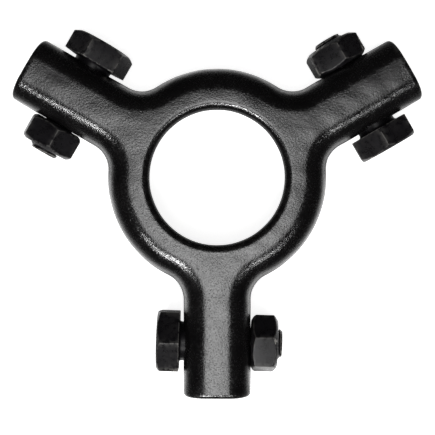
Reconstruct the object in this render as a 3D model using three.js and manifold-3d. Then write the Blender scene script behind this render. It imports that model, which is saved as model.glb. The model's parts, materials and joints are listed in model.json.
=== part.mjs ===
// Three-arm ring hub for a finger clamp, with a cross pivot bolt and a nut in each arm.
// Units are millimetres and +Z is up. The origin is on the ring's axis, in the plane of the
// hub's underside. One arm points along -Y, the others 120 degrees to either side of it.

import * as THREE from 'three';
import { mergeVertices } from 'three/addons/utils/BufferGeometryUtils.js';
import Module from 'manifold-3d';

const wasm = await Module();
wasm.setup();

// Ring
const hubHeight = 18;
const boreRadius = 16.2; // at the land, the narrowest place of the bore
const ringWall = 10.2; // from the land to the ring's outer wall
const boreLipRadius = 1.9; // round the bore's upper edge
const boreLand = 3.5; // height of the straight land under the lip
const boreDraftDegrees = 7; // the bore opens downwards below the land
const boreChamfer = 0.5; // at the bore's lower edge

// Arms
const armCount = 3;
const firstArmDegrees = -90;
const armWidth = 16.3;
const pivotFromRing = 13.6; // from the ring's outer wall to the pivot
const endFromPivot = 12.9; // from the pivot to the arm's end face
const webFilletRadius = 6.5; // in plan, where an arm meets the ring
const upperEdgeRadius = 5.8; // along the crown of ring and arms
const lowerEdgeRadius = 2.5; // along the underside

// Finger slots, open at the underside and at the arm's end
const slotWidth = 10;
const slotRoof = 2.8; // metal left above the slot
const slotBehindPivot = 9; // from the pivot towards the ring
const slotCornerRadius = 2; // at the slot's inner end

// Pivots
const pivotBelowMiddle = 0.5; // how far the bolts run below half the hub's height
const threadRadius = 3.95; // 5/16 in thread, as its outer cylinder
const threadClearance = 0.3; // radial, in the far cheek
const shoulderStep = 0.78; // radial, from the thread out to the 3/8 in shoulder
const shoulderClearance = 0.22; // radial, in the near cheek
const headStandOff = 1.05; // under the head, once the shoulder seats on the far cheek
const seatGap = 0.25; // between pieces that bear on each other
const headAcrossFlats = 14.29; // 9/16 in
const headHeight = 5.5;
const headFilletRadius = 0.7; // under the head
const headFaceRatio = 0.94; // diameter of the round top face, as a share of the flats
const chamferDegrees = 30; // of heads and nuts
const nutAcrossFlats = 12.7; // 1/2 in
const nutThickness = 6.3;
const nutFaceRatio = 0.87; // diameter of each round end face, as a share of the flats
const nutBoreClearance = 0.15; // radial, around the thread
const nutCountersink = 0.5;
const threadBeyondNut = 1.1;
const threadEndRadius = 3.1; // of the flat at the thread's end
const threadEndLength = 1.2; // of the cone that leads to it

// For each arm, counter-clockwise: the turn of its head and of its nut about the bolt, and
// how far its cross hole runs off square, in degrees
const pivots = [
  { place: 'front', headTurn: 30, nutTurn: -14.5, offSquare: -1.8 },
  { place: 'right', headTurn: -25, nutTurn: 23, offSquare: 0 },
  { place: 'left', headTurn: 14.5, nutTurn: -18, offSquare: 0 },
];

// Fineness of round surfaces
const arcSegments = 7;
const edgeSegments = 5;
const shankSegments = 28;
const boreSegments = 60;
const filletSegments = 4;
const weldDistance = 1e-5;
const margin = 1; // how far a cutting tool runs past what it cuts

// Derived sizes
const ringRadius = boreRadius + ringWall;
const pivotRadius = ringRadius + pivotFromRing;
const armReach = pivotRadius + endFromPivot;
const pivotHeight = hubHeight / 2 - pivotBelowMiddle;
const halfArm = armWidth / 2;
const halfSlot = slotWidth / 2;
const crownRadius = Math.min(upperEdgeRadius, halfArm - margin);
const footRadius = Math.min(lowerEdgeRadius, halfArm - margin);
const shoulderRadius = threadRadius + shoulderStep;
const shoulderEnd = halfSlot - seatGap;
const underHead = -(halfArm + headStandOff);
const nutSeat = halfArm + seatGap;
const threadEnd = nutSeat + nutThickness + threadBeyondNut;
const upward = new THREE.Vector3(0, 0, 1);

const steel = { color: 0x1d1d1f, roughness: 0.45, metalness: 0.6 };
const boltSteel = { color: 0x161617, roughness: 0.5, metalness: 0.6 };

function toSolid(geometry) {
  geometry.deleteAttribute('normal');
  geometry.deleteAttribute('uv');
  const merged = mergeVertices(geometry, weldDistance);
  return new wasm.Manifold(new wasm.Mesh({
    numProp: 3,
    vertProperties: new Float32Array(merged.attributes.position.array),
    triVerts: new Uint32Array(merged.index.array),
  }));
}

function toGeometry(solid) {
  const mesh = solid.getMesh();
  const geometry = new THREE.BufferGeometry();
  geometry.setAttribute('position', new THREE.BufferAttribute(mesh.vertProperties, 3));
  geometry.setIndex(new THREE.BufferAttribute(mesh.triVerts, 1));
  geometry.computeVertexNormals();
  return geometry;
}

// The angle of an arm's axis from +X, in radians.
function armAngle(index) {
  return THREE.MathUtils.degToRad(firstArmDegrees + (index * 360) / armCount);
}

// Points on an arc around a centre, both ends included.
function arc(centre, radius, from, to, segments) {
  const points = [];
  for (let i = 0; i <= segments; i += 1) {
    const angle = THREE.MathUtils.lerp(from, to, i / segments);
    const x = centre.x + radius * Math.cos(angle);
    const y = centre.y + radius * Math.sin(angle);
    points.push(new THREE.Vector2(x, y));
  }
  return points;
}

// A web fillet's points, each with the direction that leads into the metal.
function filletPoints(centre, from, to) {
  return arc(centre, webFilletRadius, from, to, arcSegments).map((point) => (
    { point, inward: point.clone().sub(centre).normalize() }
  ));
}

// The plan outline of one arm and of the ring up to the next arm, counter-clockwise, for an
// arm along +X. An end corner's inward direction keeps it in the plane of the end face.
function armOutline() {
  const filletCentre = ringRadius + webFilletRadius;
  const across = halfArm + webFilletRadius;
  const along = Math.sqrt(filletCentre ** 2 - across ** 2);
  const lean = Math.asin(across / filletCentre);
  const nextFillet = (2 * Math.PI) / armCount - lean;
  const ringPoints = arc(new THREE.Vector2(), ringRadius, lean, nextFillet, arcSegments);
  return [
    ...filletPoints(new THREE.Vector2(along, -across), Math.PI - lean, Math.PI / 2),
    { point: new THREE.Vector2(armReach, -halfArm), inward: new THREE.Vector2(0, 1) },
    { point: new THREE.Vector2(armReach, halfArm), inward: new THREE.Vector2(0, -1) },
    ...filletPoints(new THREE.Vector2(along, across), -Math.PI / 2, lean - Math.PI),
    ...ringPoints.slice(1, -1).map((point) => (
      { point, inward: point.clone().normalize().negate() }
    )),
  ];
}

function hubOutline() {
  const centre = new THREE.Vector2();
  const outline = [];
  for (let i = 0; i < armCount; i += 1) {
    armOutline().forEach(({ point, inward }) => {
      outline.push({
        point: point.rotateAround(centre, armAngle(i)),
        inward: inward.rotateAround(centre, armAngle(i)),
      });
    });
  }
  return outline;
}

// Heights and insets of the levels that round the lower and upper edges of a prism.
function edgeLevels(lowerRadius, upperRadius, height) {
  const foot = [];
  const crown = [];
  for (let i = 0; i <= edgeSegments; i += 1) {
    const angle = (i / edgeSegments) * (Math.PI / 2);
    const rise = 1 - Math.cos(angle);
    const drop = 1 - Math.sin(angle);
    foot.push([lowerRadius * rise, lowerRadius * drop]);
    crown.push([height - upperRadius * drop, upperRadius * rise]);
  }
  return [...foot, ...crown];
}

// A prism on the outline whose upper and lower edges are round.
function roundedPrism(outline, lowerRadius, upperRadius, height) {
  const levels = edgeLevels(lowerRadius, upperRadius, height);
  const rings = levels.map(([, shift]) => outline.map(({ point, inward }) => (
    point.clone().addScaledVector(inward, shift)
  )));
  const count = outline.length;
  const positions = [];
  rings.forEach((ring, k) => {
    ring.forEach((point) => positions.push(point.x, point.y, levels[k][0]));
  });
  const faces = [];
  for (let k = 0; k + 1 < rings.length; k += 1) {
    for (let i = 0; i < count; i += 1) {
      const a = k * count + i;
      const b = k * count + ((i + 1) % count);
      faces.push(a, b, b + count, a, b + count, a + count);
    }
  }
  const last = (rings.length - 1) * count;
  THREE.ShapeUtils.triangulateShape(rings[0], []).forEach(([a, b, c]) => {
    faces.push(a, c, b);
  });
  THREE.ShapeUtils.triangulateShape(rings[rings.length - 1], []).forEach(([a, b, c]) => {
    faces.push(last + a, last + b, last + c);
  });
  const geometry = new THREE.BufferGeometry();
  geometry.setAttribute('position', new THREE.Float32BufferAttribute(positions, 3));
  geometry.setIndex(faces);
  return toSolid(geometry);
}

// The bore: a round lip, a straight land, and a draft that opens to the underside.
function boreTool() {
  const lipStart = hubHeight - boreLipRadius;
  const landEnd = lipStart - boreLand;
  const slope = Math.tan(THREE.MathUtils.degToRad(boreDraftDegrees));
  const boreFoot = boreRadius + (landEnd - boreChamfer) * slope;
  const lipCentre = new THREE.Vector2(boreRadius + boreLipRadius, lipStart);
  const outer = boreRadius + boreLipRadius;
  const profile = [
    new THREE.Vector2(0, -margin),
    new THREE.Vector2(boreFoot + boreChamfer, -margin),
    new THREE.Vector2(boreFoot + boreChamfer, 0),
    new THREE.Vector2(boreFoot, boreChamfer),
    new THREE.Vector2(boreRadius, landEnd),
    ...arc(lipCentre, boreLipRadius, Math.PI, Math.PI / 2, edgeSegments),
    new THREE.Vector2(outer, hubHeight + margin),
    new THREE.Vector2(0, hubHeight + margin),
  ];
  const geometry = new THREE.LatheGeometry(profile, boreSegments);
  geometry.rotateX(Math.PI / 2);
  return toSolid(geometry);
}

// A finger slot, with rounded corners at its inner end.
function slotTool(index) {
  const radius = Math.min(slotCornerRadius, halfSlot);
  const cornerX = pivotRadius - slotBehindPivot + radius;
  const cornerY = halfSlot - radius;
  const shape = new THREE.Shape();
  shape.absarc(cornerX, cornerY, radius, Math.PI / 2, Math.PI, false);
  shape.absarc(cornerX, -cornerY, radius, Math.PI, Math.PI * 1.5, false);
  shape.lineTo(armReach + margin, -halfSlot);
  shape.lineTo(armReach + margin, halfSlot);
  const geometry = new THREE.ExtrudeGeometry(shape, {
    depth: hubHeight - slotRoof + margin,
    curveSegments: arcSegments,
    bevelEnabled: false,
  });
  geometry.translate(0, 0, -margin);
  geometry.rotateZ(armAngle(index));
  return toSolid(geometry);
}

// A solid of revolution about X, from points that give the distance along X and the radius.
function turned(points, segments) {
  const profile = points.map(([x, radius]) => new THREE.Vector2(radius, x));
  const geometry = new THREE.LatheGeometry(profile, segments);
  geometry.rotateZ(-Math.PI / 2);
  return geometry;
}

// The pivot's own frame: +X runs along the bolt from head to nut, +Y towards the ring.
function pivotFrame(pivot, index) {
  const angle = armAngle(index);
  const turn = angle + Math.PI / 2 + THREE.MathUtils.degToRad(pivot.offSquare);
  const frame = new THREE.Matrix4().makeRotationAxis(upward, turn);
  return frame.setPosition(
    pivotRadius * Math.cos(angle),
    pivotRadius * Math.sin(angle),
    pivotHeight,
  );
}

// The cross hole: the shoulder's size up to the far cheek, the thread's size through it.
function crossHoleTool(frame) {
  const wide = shoulderRadius + shoulderClearance;
  const narrow = threadRadius + threadClearance;
  const outside = armWidth;
  const step = halfSlot - seatGap / 2;
  const geometry = turned([
    [-outside, 0],
    [-outside, wide],
    [step, wide],
    [step, narrow],
    [outside, narrow],
    [outside, 0],
  ], shankSegments);
  geometry.applyMatrix4(frame);
  return toSolid(geometry);
}

function hubSolid() {
  const body = roundedPrism(hubOutline(), footRadius, crownRadius, hubHeight);
  let hub = body.subtract(boreTool());
  pivots.forEach((pivot, index) => {
    hub = hub.subtract(slotTool(index)).subtract(crossHoleTool(pivotFrame(pivot, index)));
  });
  return hub;
}

// A hexagonal bar along X. At turn 0 one flat faces up.
function hexBar(acrossFlats, from, to, turnDegrees) {
  const corner = acrossFlats / Math.sqrt(3);
  const length = to - from;
  const flatUp = Math.PI / 6;
  const geometry = new THREE.CylinderGeometry(corner, corner, length, 6, 1, false, flatUp);
  geometry.translate(0, (to + from) / 2, 0);
  geometry.rotateZ(-Math.PI / 2);
  geometry.rotateX(THREE.MathUtils.degToRad(-turnDegrees));
  return toSolid(geometry);
}

// How far along the axis a chamfer runs, from its round face to a hexagon's corners.
function chamferLength(acrossFlats, faceRadius) {
  const corner = acrossFlats / Math.sqrt(3);
  return (corner - faceRadius) * Math.tan(THREE.MathUtils.degToRad(chamferDegrees));
}

function boltSolid(pivot) {
  const top = underHead - headHeight;
  const face = (headAcrossFlats / 2) * headFaceRatio;
  const corner = headAcrossFlats / Math.sqrt(3);
  const chamfer = chamferLength(headAcrossFlats, face);
  const chamferTool = toSolid(turned([
    [top, 0],
    [top, face],
    [top + chamfer, corner],
    [top + chamfer, corner + margin],
    [underHead + margin, corner + margin],
    [underHead + margin, 0],
  ], shankSegments));
  const hexagon = hexBar(headAcrossFlats, top, underHead, pivot.headTurn);
  const filletCentre = new THREE.Vector2(
    underHead + headFilletRadius,
    shoulderRadius + headFilletRadius,
  );
  const fillet = arc(filletCentre, headFilletRadius, Math.PI, Math.PI * 1.5, filletSegments);
  const shank = toSolid(turned([
    [underHead - margin, 0],
    [underHead - margin, shoulderRadius + headFilletRadius],
    ...fillet.map((point) => [point.x, point.y]),
    [shoulderEnd, shoulderRadius],
    [shoulderEnd, threadRadius],
    [threadEnd - threadEndLength, threadRadius],
    [threadEnd, threadEndRadius],
    [threadEnd, 0],
  ], shankSegments));
  return hexagon.intersect(chamferTool).add(shank);
}

function nutSolid(pivot) {
  const end = nutSeat + nutThickness;
  const face = (nutAcrossFlats / 2) * nutFaceRatio;
  const corner = nutAcrossFlats / Math.sqrt(3);
  const chamfer = chamferLength(nutAcrossFlats, face);
  const chamferTool = toSolid(turned([
    [nutSeat, 0],
    [nutSeat, face],
    [nutSeat + chamfer, corner],
    [end - chamfer, corner],
    [end, face],
    [end, 0],
  ], shankSegments));
  const bore = threadRadius + nutBoreClearance;
  const boreTool = toSolid(turned([
    [nutSeat - margin, 0],
    [nutSeat - margin, bore + nutCountersink],
    [nutSeat, bore + nutCountersink],
    [nutSeat + nutCountersink, bore],
    [end - nutCountersink, bore],
    [end, bore + nutCountersink],
    [end + margin, bore + nutCountersink],
    [end + margin, 0],
  ], shankSegments));
  const hexagon = hexBar(nutAcrossFlats, nutSeat - margin, end + margin, pivot.nutTurn);
  return hexagon.intersect(chamferTool).subtract(boreTool);
}

function namedMesh(name, solid, look) {
  const mesh = new THREE.Mesh(toGeometry(solid), new THREE.MeshStandardMaterial(look));
  mesh.name = name;
  return mesh;
}

const assembly = new THREE.Group();
assembly.add(namedMesh('hub', hubSolid(), steel));
pivots.forEach((pivot, index) => {
  const station = new THREE.Group();
  station.applyMatrix4(pivotFrame(pivot, index));
  station.add(namedMesh(`pivot_bolt_${pivot.place}`, boltSolid(pivot), boltSteel));
  station.add(namedMesh(`nut_${pivot.place}`, nutSolid(pivot), boltSteel));
  assembly.add(station);
});

export default assembly;
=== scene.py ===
"""Looks of a three-arm clamp hub: a forged ring with a slotted arm every 120 degrees,
and a pivot bolt and nut across each arm. Everything is in metres, in the model's frame."""
import json
import math

import bpy
import numpy as np
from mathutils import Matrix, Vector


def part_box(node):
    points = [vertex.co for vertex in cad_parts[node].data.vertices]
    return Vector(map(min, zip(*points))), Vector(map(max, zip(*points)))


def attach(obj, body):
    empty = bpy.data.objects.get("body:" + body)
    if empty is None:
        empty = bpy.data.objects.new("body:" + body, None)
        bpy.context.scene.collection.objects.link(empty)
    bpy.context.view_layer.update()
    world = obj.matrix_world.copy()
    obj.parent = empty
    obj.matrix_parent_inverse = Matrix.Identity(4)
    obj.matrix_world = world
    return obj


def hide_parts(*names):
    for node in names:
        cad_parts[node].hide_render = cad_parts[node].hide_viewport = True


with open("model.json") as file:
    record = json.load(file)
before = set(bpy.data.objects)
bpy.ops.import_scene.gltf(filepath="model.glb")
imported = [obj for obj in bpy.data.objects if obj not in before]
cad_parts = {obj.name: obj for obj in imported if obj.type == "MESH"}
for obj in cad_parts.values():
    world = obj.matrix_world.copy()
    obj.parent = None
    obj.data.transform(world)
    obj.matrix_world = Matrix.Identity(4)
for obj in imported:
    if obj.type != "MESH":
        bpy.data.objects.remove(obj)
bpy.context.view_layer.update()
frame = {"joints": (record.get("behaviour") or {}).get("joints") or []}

import openvdb
from mathutils import Matrix, Vector

MM = 0.001
PLACES = ("front", "left", "right")

# Hub
HUB_LOW, HUB_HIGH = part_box("hub")
HEIGHT = HUB_HIGH.z
ARM_REACH = -HUB_LOW.y
BORE_RADIUS = 16.2 * MM
RING_RADIUS = 26.4 * MM
HALF_ARM = 8.15 * MM
WEB_RADIUS = 6.5 * MM  # in plan, where an arm meets the ring
UPPER_EDGE = 5.6 * MM  # rounding along the crown
CROWN_DOME = 45 * MM  # radius of the crown between the rounded edges
LOWER_EDGE = 2.5 * MM  # rounding along the underside
END_EDGE = 1.1 * MM  # rounding round an arm's end face
LIP_RADIUS = 1.9 * MM  # at the bore's upper edge
BORE_FOOT_EDGE = 0.7 * MM
LAND_END = 12.6 * MM  # the bore widens below this height
LAND_BLEND = 1.0 * MM
BORE_DRAFT = math.radians(7)
HALF_SLOT = 5.0 * MM
SLOT_START = 31.0 * MM  # from the ring's axis
SLOT_ROOF = 15.2 * MM
SLOT_CORNER = 2.0 * MM
SLOT_ROOF_CORNER = 0.8 * MM
SLOT_EDGE = 0.5 * MM
HOLE_EDGE = 0.35 * MM
SHOULDER_HOLE = 4.95 * MM
THREAD_HOLE = 4.25 * MM
HOLE_STEP = 4.875 * MM  # where the cross hole narrows, from the arm's middle
UNEVENNESS = 0.09 * MM  # of the forged skin, always inwards
FORGING_WAVES = (  # each a direction, in radians a metre, and a phase
    (Vector((610, 240, 90)), 0.4),
    (Vector((-330, 560, 210)), 2.1),
    (Vector((190, -850, 330)), 4.0),
    (Vector((980, 420, -260)), 1.2),
    (Vector((-760, -930, 150)), 5.3),
    (Vector((240, 1240, 480)), 3.1),
)
SKIN_STEP = 0.5 * MM  # size of the hub's faces
SKIN_PASSES = 5  # times that the faces' corners are drawn on to the surface
SLOPE_REACH = 0.02 * MM
LEAST_SLOPE_SQUARED = 0.25  # so that a corner never jumps where the field is blunt

# Bolts and nuts, measured along the bolt from the arm's middle, head to nut
HEAD_FLATS = 14.29 * MM
HEAD_TOP = -14.7 * MM
UNDER_HEAD = -9.2 * MM
HEAD_FILLET = 0.7 * MM
SHOULDER_RADIUS = 4.73 * MM
SHOULDER_END = 4.75 * MM
RELIEF_RADIUS = 3.2 * MM
RELIEF_END = 5.7 * MM
THREAD_RADIUS = 3.95 * MM
THREAD_DEPTH = 0.78 * MM
THREAD_ROOT = THREAD_RADIUS - THREAD_DEPTH
PITCH = 1.411 * MM
THREAD_HALF_FLAT = 0.09  # half of a crest or of a root, as a share of the pitch
THREAD_FLANK = 0.32  # one flank, as a share of the pitch
THREAD_END = 15.8 * MM
THREAD_END_RADIUS = 3.1 * MM
THREAD_END_CONE = 1.2 * MM
NUT_FLATS = 12.7 * MM
NUT_SEAT = 8.2 * MM
NUT_END = 14.7 * MM
NUT_PLAY = 0.1 * MM  # radial, between the threads
NUT_CREST = 3.35 * MM
COUNTERSINK = 0.6 * MM
COUNTERSINK_RIM = 0.6 * MM  # flat kept between the countersink and a nut's rounding
HEAD_FACE_RATIO = 0.94  # diameter of a head's round face, as a share of its flats
NUT_FACE_RATIO = 0.87
HEAD_FACE_ROWS = (0.03, 0.15, 0.3, 0.4)  # radii across a head's face, as shares of its flats
THREAD_END_ROWS = (0.9, 0.4)  # radii across a thread's end, as shares of THREAD_END_RADIUS
CHAMFER = math.radians(30)
HEX_CORNER = 0.3 * MM
SIXTH = math.pi / 6  # half of the angle that a hexagon's side takes
SOFT_EDGE = 0.22 * MM
CORNER_SHARE = 0.45  # the most of a line that one softened corner takes
HEAD_TURN = {"front": 30, "left": 14.5, "right": -25}  # degrees from a flat that faces up
NUT_TURN = {"front": -14.5, "left": -18, "right": 23}
FLAT_STEPS = 8
CORNER_STEPS = 5
SHOULDER_STEPS = 6
THREAD_STEPS = 12  # rows in one pitch
ALONG = np.array([[1], [0]])  # of a row's (x, radius)
OUTWARDS = np.array([[0], [1]])


# The hub's shape, as a distance field

def arm_coordinates(points):
    """Distance along the nearest arm's axis, across it to its nut side, and from the ring's axis."""
    angle = np.arctan2(points[:, 1], points[:, 0])
    third = 2 * math.pi / 3
    arm = np.round((angle + math.pi / 2) / third) * third - math.pi / 2
    radius = np.hypot(points[:, 0], points[:, 1])
    return radius * np.cos(angle - arm), radius * np.sin(angle - arm), radius


def rounded_max(a, b, radius):
    """The intersection of two fields, with its edge rounded."""
    corner = np.hypot(np.maximum(a + radius, 0), np.maximum(b + radius, 0))
    return np.minimum(np.maximum(a, b), -radius) + corner


def plan_field(along, across, radius):
    """Distance to the outline of ring, arms and webs, in plan."""
    side = np.abs(across)
    centre_radius = RING_RADIUS + WEB_RADIUS
    centre_across = HALF_ARM + WEB_RADIUS
    centre_along = math.sqrt(centre_radius**2 - centre_across**2)
    lean = math.atan2(centre_across, centre_along)
    web = WEB_RADIUS - np.hypot(along - centre_along, side - centre_across)
    near_arm = np.where(along >= centre_along, side - HALF_ARM, web)
    return np.where(np.arctan2(side, along) < lean, near_arm, radius - RING_RADIUS)


def bore_field(radius, height):
    below = LAND_END - height
    widening = math.tan(BORE_DRAFT) * (below + np.hypot(below, LAND_BLEND)) / 2
    return BORE_RADIUS + widening - radius


def slot_field(along, across, height):
    plan = rounded_max(np.abs(across) - HALF_SLOT, SLOT_START - along, SLOT_CORNER)
    return rounded_max(plan, height - SLOT_ROOF, SLOT_ROOF_CORNER)


def cross_hole_field(points, place):
    local = (points - np.array(pivots[place].translation)) @ np.array(pivots[place].to_3x3())
    wall = np.where(local[:, 0] < HOLE_STEP, SHOULDER_HOLE, THREAD_HOLE)
    return np.hypot(local[:, 1], local[:, 2]) - wall


def unevenness(points):
    """From 0 to 1: the slow waves that forging dies and scale leave."""
    total = sum(np.sin(points @ np.array(wave) + phase) for wave, phase in FORGING_WAVES)
    return 0.5 + total / (2 * len(FORGING_WAVES))


def hub_field(points):
    along, across, radius = arm_coordinates(points)
    height = points[:, 2]
    middle = HEIGHT / 2
    upper = height > middle
    edge = np.where(upper, UPPER_EDGE, LOWER_EDGE)
    plan = plan_field(along, across, radius)
    sag = np.where(upper, np.maximum(HALF_ARM + plan, 0) ** 2 / (2 * CROWN_DOME), 0)
    field = rounded_max(plan, np.abs(height - middle) - middle + sag, edge)
    field = rounded_max(field, along - ARM_REACH, END_EDGE)
    lip = np.where(upper, LIP_RADIUS, BORE_FOOT_EDGE)
    field = rounded_max(field, bore_field(radius, height), lip)
    field = rounded_max(field, -slot_field(along, across, height), SLOT_EDGE)
    for place in PLACES:
        field = rounded_max(field, -cross_hole_field(points, place), HOLE_EDGE)
    return field + UNEVENNESS * unevenness(points)


def slopes(field, points):
    steps = np.eye(3) * SLOPE_REACH
    return np.stack([field(points + s) - field(points - s) for s in steps], 1) / (2 * SLOPE_REACH)


def skin(field, low, high, step):
    """A mesh of even quads that lie on the field's zero surface, and its normals."""
    start = np.array(low) - 2 * step
    counts = np.ceil((np.array(high) - start) / step).astype(int) + 3
    axes = [start[i] + step * np.arange(counts[i]) for i in range(3)]
    points = np.stack(np.meshgrid(*axes, indexing="ij"), -1).reshape(-1, 3)
    grid = openvdb.FloatGrid(step)
    grid.copyFromArray(field(points).reshape(counts).astype(np.float32))
    vertices, faces = grid.convertToQuads()
    vertices = start + step * vertices.astype(float)
    for _ in range(SKIN_PASSES):
        slope = slopes(field, vertices)
        shift = field(vertices) / np.maximum((slope**2).sum(1), LEAST_SLOPE_SQUARED)
        vertices -= np.clip(shift, -step / 2, step / 2)[:, None] * slope
    normals = slopes(field, vertices)
    return vertices, faces, normals / np.linalg.norm(normals, axis=1)[:, None]


# Meshes

def add_piece(name, vertices, faces, normals=None):
    mesh = bpy.data.meshes.new(name)
    mesh.from_pydata(vertices.tolist(), [], faces.tolist() if hasattr(faces, "tolist") else faces)
    mesh.validate()
    turn_outwards(mesh)
    mesh.shade_smooth()
    if normals is not None:
        mesh.normals_split_custom_set_from_vertices(normals.tolist())
    piece = bpy.data.objects.new(name, mesh)
    bpy.context.scene.collection.objects.link(piece)
    return piece


def turn_outwards(mesh):
    """Flips a mesh's faces if they point inwards, which makes its volume negative."""
    volume = 0
    for face in mesh.polygons:
        a = mesh.vertices[face.vertices[0]].co
        for i in range(1, len(face.vertices) - 1):
            b = mesh.vertices[face.vertices[i]].co
            c = mesh.vertices[face.vertices[i + 1]].co
            volume += a.dot(b.cross(c))
    if volume < 0:
        mesh.flip_normals()


def flat_end(apothem):
    """The angle from the middle of a hexagon's flat to where its rounded corner starts."""
    return math.atan((apothem - HEX_CORNER) * math.tan(SIXTH) / apothem)


def hexagon_angles(across_flats):
    """Angles round a hexagon from the middle of a flat, closer together at its rounded corners."""
    tangent = flat_end(across_flats / 2)
    flat = np.linspace(-tangent, tangent, FLAT_STEPS, endpoint=False)
    corner = np.linspace(tangent, 2 * SIXTH - tangent, CORNER_STEPS, endpoint=False)
    side = np.concatenate([flat, corner])
    return np.concatenate([side + i * 2 * SIXTH for i in range(6)])


def hexagon_radius(across_flats, angles):
    """Distance from the axis to a hexagon with rounded corners."""
    apothem = across_flats / 2
    local = np.abs((angles + SIXTH) % (2 * SIXTH) - SIXTH)
    centre = (apothem - HEX_CORNER) / math.cos(SIXTH)
    off = local - SIXTH
    arc = centre * np.cos(off) + np.sqrt(np.maximum(HEX_CORNER**2 - (centre * np.sin(off)) ** 2, 0))
    return np.where(local <= flat_end(apothem), apothem / np.cos(local), arc)


def softened(corners, size, steps=4):
    """Rows of (x, radius), one array over the angles each, with each inner corner turned into an arc."""
    rows = [corners[0]]
    for before, corner, after in zip(corners, corners[1:], corners[2:]):
        ins, outs = (before - corner), (after - corner)
        length_in = np.linalg.norm(ins, axis=0)
        length_out = np.linalg.norm(outs, axis=0)
        reach = np.minimum(np.minimum(length_in, length_out) * CORNER_SHARE, size)
        start = corner + ins * reach / length_in
        end = corner + outs * reach / length_out
        for i in range(steps + 1):
            u = i / steps
            rows.append((1 - u) ** 2 * start + 2 * u * (1 - u) * corner + u**2 * end)
    rows.append(corners[-1])
    return rows


def row(x, radius, angles):
    """One (x, radius) over the angles. Either may be a number or an array."""
    return np.stack([x + 0 * angles, radius + 0 * angles])


def revolve(name, rows, angles, pivot, closed):
    """A mesh from rows of (x, radius) round a pivot's axis. Its ends meet each other or the axis."""
    count = len(angles)
    rings = []
    for x, radius in rows:
        rings.append(np.stack([x, radius * np.cos(angles), radius * np.sin(angles)], 1))
    vertices = np.concatenate(rings)
    faces = []
    last = len(rows) if closed else len(rows) - 1
    for j in range(last):
        low, high = j * count, ((j + 1) % len(rows)) * count
        for i in range(count):
            k = (i + 1) % count
            faces.append((low + i, low + k, high + k, high + i))
    if not closed:
        for j, ring in ((0, 0), (len(rows) - 1, (len(rows) - 1) * count)):
            centre = np.array([[rows[j][0].mean(), 0, 0]])
            middle = len(vertices)
            vertices = np.concatenate([vertices, centre])
            for i in range(count):
                k = (i + 1) % count
                face = (ring + k, ring + i, middle) if j == 0 else (ring + i, ring + k, middle)
                faces.append(face)
    placed = vertices @ np.array(pivot.to_3x3()).T + np.array(pivot.translation)
    return add_piece(name, placed, faces)


def thread_height(x, angles):
    """From 0 at the root to 1 at the crest of a right-handed thread."""
    phase = (x / PITCH - angles / (2 * math.pi)) % 1
    return np.clip((np.abs(phase - 0.5) - THREAD_HALF_FLAT) / THREAD_FLANK, 0, 1)


def threaded_rows(start, end, angles, radius_at):
    """Rows from just after start up to end, with the radius that radius_at gives for each x."""
    steps = int(round(abs(end - start) / PITCH * THREAD_STEPS))
    places = [start + (end - start) * i / steps for i in range(1, steps + 1)]
    return [row(x, radius_at(x), angles) for x in places]


def hexagon_side(flats, ratio, face_x, inner_x, angles, start):
    """The corners of a hexagon's side: its round face, its chamfer, and its far edge.
    Start is the angle to the middle of a flat."""
    radius = hexagon_radius(flats, angles - start)
    face = flats / 2 * ratio
    sign = math.copysign(1, inner_x - face_x)
    chamfer = face_x + sign * (radius - face) * math.tan(CHAMFER)
    return row(face_x, face, angles), row(chamfer, radius, angles), row(inner_x, radius, angles)


def head_and_shoulder_rows(angles, start):
    face, chamfer, under = hexagon_side(
        HEAD_FLATS, HEAD_FACE_RATIO, HEAD_TOP, UNDER_HEAD, angles, start
    )
    neck = row(UNDER_HEAD, SHOULDER_RADIUS, angles)
    rows = [row(HEAD_TOP, HEAD_FLATS * share, angles) for share in HEAD_FACE_ROWS]
    corners = [rows.pop(), face, chamfer, under, neck + 2 * MM * OUTWARDS]
    rows += softened(corners, SOFT_EDGE)
    rows += softened([neck + 1.5 * MM * OUTWARDS, neck, neck + 3 * MM * ALONG], HEAD_FILLET, 6)
    for x in np.linspace(UNDER_HEAD + 3.5 * MM, SHOULDER_END - 1.5 * MM, SHOULDER_STEPS):
        rows.append(row(x, SHOULDER_RADIUS, angles))
    return rows


def relief_rows(angles):
    corners = (
        (SHOULDER_END - 1 * MM, SHOULDER_RADIUS),
        (SHOULDER_END, SHOULDER_RADIUS),
        (SHOULDER_END, RELIEF_RADIUS),
        (RELIEF_END, RELIEF_RADIUS),
    )
    return softened([row(x, radius, angles) for x, radius in corners], SOFT_EDGE)


def bolt(place, pivot):
    start = math.radians(90 - HEAD_TURN[place])
    angles = hexagon_angles(HEAD_FLATS) + start

    def thread(x):
        lead_in = min((x - RELIEF_END) / PITCH, 1)
        cone = max(x - (THREAD_END - THREAD_END_CONE), 0) / THREAD_END_CONE
        envelope = THREAD_RADIUS - cone * (THREAD_RADIUS - THREAD_END_RADIUS)
        return np.minimum(THREAD_ROOT + THREAD_DEPTH * thread_height(x, angles) * lead_in, envelope)

    rows = head_and_shoulder_rows(angles, start) + relief_rows(angles)
    rows += threaded_rows(RELIEF_END, THREAD_END, angles, thread)
    rows += [row(THREAD_END, THREAD_END_RADIUS * share, angles) for share in THREAD_END_ROWS]
    return revolve(f"bolt_{place}", rows, angles, pivot, False)


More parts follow.
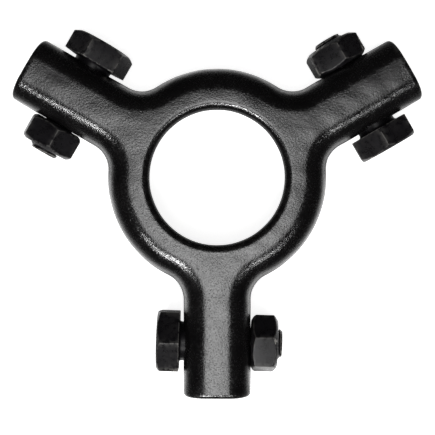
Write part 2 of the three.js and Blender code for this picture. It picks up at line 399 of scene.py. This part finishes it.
def nut(place, pivot):
    start = math.radians(90 - NUT_TURN[place])
    angles = hexagon_angles(NUT_FLATS) + start
    middle = (NUT_SEAT + NUT_END) / 2
    shape = (NUT_FLATS, NUT_FACE_RATIO)
    seat_face, seat_chamfer, _ = hexagon_side(*shape, NUT_SEAT, middle, angles, start)
    end_face, end_chamfer, _ = hexagon_side(*shape, NUT_END, middle, angles, start)
    mouth = THREAD_RADIUS + NUT_PLAY + COUNTERSINK
    seat_rim = row(NUT_SEAT, mouth + COUNTERSINK_RIM, angles)
    end_rim = row(NUT_END, mouth + COUNTERSINK_RIM, angles)

    def thread(x):
        radius = THREAD_ROOT + THREAD_DEPTH * thread_height(x, angles) + NUT_PLAY
        countersink = mouth - min(x - NUT_SEAT, NUT_END - x)
        return np.maximum(np.maximum(radius, NUT_CREST), countersink)

    corners = [seat_rim, seat_face, seat_chamfer, end_chamfer, end_face, end_rim]
    rows = [row(NUT_SEAT, mouth, angles)] + softened(corners, SOFT_EDGE)
    rows += [row(NUT_END, mouth, angles)]
    rows += threaded_rows(NUT_END, NUT_SEAT, angles, thread)[:-1]
    return revolve(f"hex_nut_{place}", rows, angles, pivot, True)


# Materials

ENAMEL_DARK = (0.0028, 0.0026, 0.0028, 1)
ENAMEL_PALE = (0.0065, 0.006, 0.0062, 1)
# paler edge colour of the enamel: partly wear, partly a painted highlight
ENAMEL_WEAR_AND_HIGHLIGHT = (0.05, 0.049, 0.047, 1)
ENAMEL_IOR = 1.8
OXIDE_DARK = (0.0040, 0.0037, 0.0042, 1)
OXIDE_PALE = (0.0120, 0.0110, 0.0130, 1)
# paler edge colour of the oxide: partly bare steel from wear, partly a painted highlight
OXIDE_WEAR_AND_HIGHLIGHT = (0.30, 0.29, 0.27, 1)
OXIDE_SPECULAR = 0.22
PAPER = (0.86, 0.86, 0.855, 1)
BLACK = (0, 0, 0, 1)
WHITE = (1, 1, 1, 1)


class Nodes:
    """A short way to write a material's nodes."""

    def __init__(self, name):
        self.material = bpy.data.materials.new(name)
        self.material.use_nodes = True
        self.tree = self.material.node_tree
        self.shader = self.tree.nodes["Principled BSDF"]
        self.place = self.add("ShaderNodeTexCoord").outputs["Object"]

    def add(self, kind, **settings):
        node = self.tree.nodes.new(kind)
        for name, value in settings.items():
            setattr(node, name, value)
        return node

    def give(self, socket, value):
        if isinstance(value, bpy.types.NodeSocket):
            self.tree.links.new(value, socket)
        else:
            socket.default_value = value

    def set(self, node, **values):
        for name, value in values.items():
            self.give(node.inputs[name.replace("_", " ")], value)

    def noise(self, grain, detail=2.0, roughness=0.5):
        """Noise whose features are about as large as grain."""
        node = self.add("ShaderNodeTexNoise")
        self.set(node, Vector=self.place, Scale=1 / grain, Detail=detail, Roughness=roughness)
        return node.outputs["Fac"]

    def ramp(self, value, low, high, start=0.0, end=1.0):
        """A smooth step from start, where the value is low, to end, where it is high."""
        node = self.add("ShaderNodeMapRange", interpolation_type="SMOOTHSTEP")
        self.set(node, Value=value, From_Min=low, From_Max=high, To_Min=start, To_Max=end)
        return node.outputs["Result"]

    def math(self, operation, a, b):
        node = self.add("ShaderNodeMath", operation=operation)
        for socket, value in zip(node.inputs, (a, b)):
            self.give(socket, value)
        return node.outputs[0]

    def mix(self, factor, a, b):
        """A colour between a and b. A colour mix has its factor and colours at these sockets."""
        node = self.add("ShaderNodeMix", data_type="RGBA")
        for index, value in ((0, factor), (6, a), (7, b)):
            self.give(node.inputs[index], value)
        return node.outputs[2]

    def bump(self, height, distance, normal=None):
        node = self.add("ShaderNodeBump")
        self.set(node, Height=height, Distance=distance, Strength=1.0)
        if normal is not None:
            self.set(node, Normal=normal)
        return node.outputs["Normal"]

    def edges(self, low, high):
        """From 0 on flats to 1 on sharp outer edges."""
        return self.ramp(self.add("ShaderNodeNewGeometry").outputs["Pointiness"], low, high)


def hub_material():
    """Black enamel over a forged, pebbled skin, thin and greyer along its edges: partly worn enamel,
    partly a painted highlight along the edges.
    """
    n = Nodes("forged_enamel")
    blotches = n.noise(5 * MM, 3)
    grain = n.noise(0.38 * MM, 3, 0.6)
    pits = n.ramp(n.noise(1.3 * MM, 2), 0.26, 0.36)
    # Paler along sharp edges: partly worn enamel, partly a painted highlight where the edges would catch
    # the light.
    wear_and_highlight = n.math("MULTIPLY", n.edges(0.505, 0.56), n.ramp(n.noise(1.6 * MM, 4), 0.42, 0.62))
    colour = n.mix(wear_and_highlight, n.mix(blotches, ENAMEL_DARK, ENAMEL_PALE), ENAMEL_WEAR_AND_HIGHLIGHT)
    flecks = n.ramp(n.noise(0.45 * MM, 2), 0.44, 0.66, 0.14, 0.26)
    rough = n.math("ADD", flecks, n.ramp(blotches, 0.3, 0.7, 0.0, 0.05))
    waves = n.bump(n.noise(3.2 * MM, 2), 0.05 * MM)
    pitted = n.bump(pits, 0.015 * MM, waves)
    pebbled = n.bump(grain, 0.05 * MM, pitted)
    n.set(n.shader, Base_Color=colour, Roughness=rough, Normal=pebbled, IOR=ENAMEL_IOR)
    return n.material


def bolt_material():
    """Oiled black oxide: dull, faintly violet, paler along the edges, partly bare from wear and partly a
    painted highlight.
    """
    n = Nodes("black_oxide")
    blotches = n.noise(2.2 * MM, 3)
    grain = n.noise(0.35 * MM, 3, 0.6)
    # Paler along sharp edges: partly bare from wear, partly a painted highlight where the edges would
    # catch the light.
    wear_and_highlight = n.math("MULTIPLY", n.edges(0.51, 0.56), n.ramp(n.noise(1.1 * MM, 3), 0.38, 0.55))
    colour = n.mix(wear_and_highlight, n.mix(blotches, OXIDE_DARK, OXIDE_PALE), OXIDE_WEAR_AND_HIGHLIGHT)
    rough = n.math("ADD", n.ramp(grain, 0.3, 0.7, 0.22, 0.32), n.ramp(blotches, 0.3, 0.7, 0.0, 0.08))
    n.set(n.shader, Base_Color=colour, Roughness=rough, Normal=n.bump(grain, 0.03 * MM))
    n.shader.inputs["Specular IOR Level"].default_value = OXIDE_SPECULAR
    return n.material


# Stage

CAMERA_ABOVE_CROWN = 0.318
VIEW_WIDTH = 0.1032  # at the crown's height
CAMERA_PLACE = Vector((0.0001, -0.00963, HEIGHT + CAMERA_ABOVE_CROWN))
SENSOR = 36
CLIP_START = 0.01

FLOOR_HALF = 0.8
FLOOR_MIDDLE = (-0.015, -0.04, 0)  # of the brighter reflection in front
SHADE_DISTANCE = 0.05
FLOOR_GLOW = 0.85
SOFT_LIGHT = 0.95  # of the world, on what isn't glossy

OVERHEAD = (-0.03, -0.155, 1.0)
OVERHEAD_REAR = (-0.03, 0.08, 1.0)
STRIP_LEFT = (-0.26, -0.60, 0.70)
STRIP_RIGHT = (0.26, -0.60, 0.70)
STRIP_TARGET = (0, 0, 0.015)
LIGHTS = (  # name, place, target, width, depth, power in watts
    ("overhead", OVERHEAD, (*OVERHEAD[:2], 0), 0.40, 0.37, 2.25),
    ("overhead_rear", OVERHEAD_REAR, (*OVERHEAD_REAR[:2], 0), 0.40, 0.20, 0.22),
    ("front_strip_left", STRIP_LEFT, STRIP_TARGET, 0.42, 0.045, 5.0),
    ("front_strip_right", STRIP_RIGHT, STRIP_TARGET, 0.42, 0.045, 1.7),
)


def add_camera():
    data = bpy.data.cameras.new("camera")
    data.sensor_width = SENSOR
    data.lens = SENSOR * CAMERA_ABOVE_CROWN / VIEW_WIDTH
    data.clip_start = CLIP_START
    camera = bpy.data.objects.new("camera", data)
    camera.location = CAMERA_PLACE
    bpy.context.scene.collection.objects.link(camera)
    bpy.context.scene.camera = camera


def add_light(name, place, target, width, depth, power):
    data = bpy.data.lights.new(name, "AREA")
    data.energy = power
    data.shape = "RECTANGLE"
    data.size = width
    data.size_y = depth
    light = bpy.data.objects.new(name, data)
    light.location = place
    light.rotation_mode = "QUATERNION"
    light.rotation_quaternion = (Vector(target) - Vector(place)).to_track_quat("-Z", "Y")
    bpy.context.scene.collection.objects.link(light)


def floor_material():
    """Pale paper. What the gloss shows of it is dark, but for a light line close to the object."""
    n = Nodes("pale_floor")
    off = n.add("ShaderNodeVectorMath", operation="DISTANCE")
    n.tree.links.new(n.place, off.inputs[0])
    off.inputs[1].default_value = FLOOR_MIDDLE
    shade = n.add("ShaderNodeAmbientOcclusion", samples=8)
    n.set(shade, Distance=SHADE_DISTANCE)
    glossy = n.add("ShaderNodeLightPath").outputs["Is Glossy Ray"]
    front = n.ramp(off.outputs["Value"], 0.05, 0.11, 1.0, 0.25)
    line = n.ramp(shade.outputs["AO"], 0.78, 0.96, 2.2, 0.01)
    dusk = n.ramp(shade.outputs["AO"], 0.55, 0.74, 0.08, 1.0)
    seen = n.math("MULTIPLY", n.math("MULTIPLY", front, n.math("MULTIPLY", line, dusk)), glossy)
    own = n.math("MULTIPLY", n.math("SUBTRACT", 1.0, glossy), FLOOR_GLOW)
    n.set(n.shader, Base_Color=n.mix(glossy, PAPER, BLACK), Roughness=0.9, Emission_Color=WHITE)
    n.set(n.shader, Emission_Strength=n.math("ADD", seen, own))
    return n.material


def add_floor():
    signs = np.array([(-1, -1, 0), (1, -1, 0), (1, 1, 0), (-1, 1, 0)])
    floor = add_piece("floor", FLOOR_HALF * signs, [(0, 1, 2, 3)])
    floor.data.materials.append(floor_material())


def add_world():
    """Soft light for the floor, and dark surroundings for the gloss to reflect."""
    world = bpy.data.worlds.new("studio")
    world.use_nodes = True
    bpy.context.scene.world = world
    tree = world.node_tree
    background = tree.nodes["Background"]
    path = tree.nodes.new("ShaderNodeLightPath")
    place = tree.nodes.new("ShaderNodeTexCoord")
    split = tree.nodes.new("ShaderNodeSeparateXYZ")
    tree.links.new(place.outputs["Generated"], split.inputs[0])
    rise = tree.nodes.new("ShaderNodeMapRange")
    tree.links.new(split.outputs["Z"], rise.inputs["Value"])
    gloss = {"From Min": 0.05, "From Max": 0.6, "To Min": 0.01, "To Max": 0.07}
    for name, value in gloss.items():
        rise.inputs[name].default_value = value
    pick = tree.nodes.new("ShaderNodeMix")
    pick.inputs[2].default_value = SOFT_LIGHT
    tree.links.new(path.outputs["Is Glossy Ray"], pick.inputs[0])
    tree.links.new(rise.outputs["Result"], pick.inputs[3])
    tree.links.new(pick.outputs[0], background.inputs["Strength"])


def pivot_of(place):
    """The pivot's own frame: +X along the bolt from head to nut, +Y towards the ring."""
    joint = next(j for j in frame["joints"] if j["name"] == f"nut_turn_{place}")
    x = Vector(joint["axis"]).normalized()
    z = Vector((0, 0, 1))
    y = z.cross(x)
    turned = Matrix((x, y, z)).transposed().to_4x4()
    turned.translation = Vector(joint["pos_m"])
    return turned


def add_part(piece, node, body, material):
    piece.data.materials.append(material)
    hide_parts(node)
    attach(piece, body)


pivots = {place: pivot_of(place) for place in PLACES}
add_camera()
add_floor()
add_world()
for light in LIGHTS:
    add_light(*light)

enamel = hub_material()
oxide = bolt_material()
vertices, faces, normals = skin(hub_field, HUB_LOW, HUB_HIGH, SKIN_STEP)
add_part(add_piece("ring_hub", vertices, faces, normals), "hub", "hub", enamel)
for place in PLACES:
    name = f"pivot_bolt_{place}"
    add_part(bolt(place, pivots[place]), name, name, oxide)
    name = f"nut_{place}"
    add_part(nut(place, pivots[place]), name, name, oxide)

bpy.context.scene.view_settings.view_transform = "Standard"
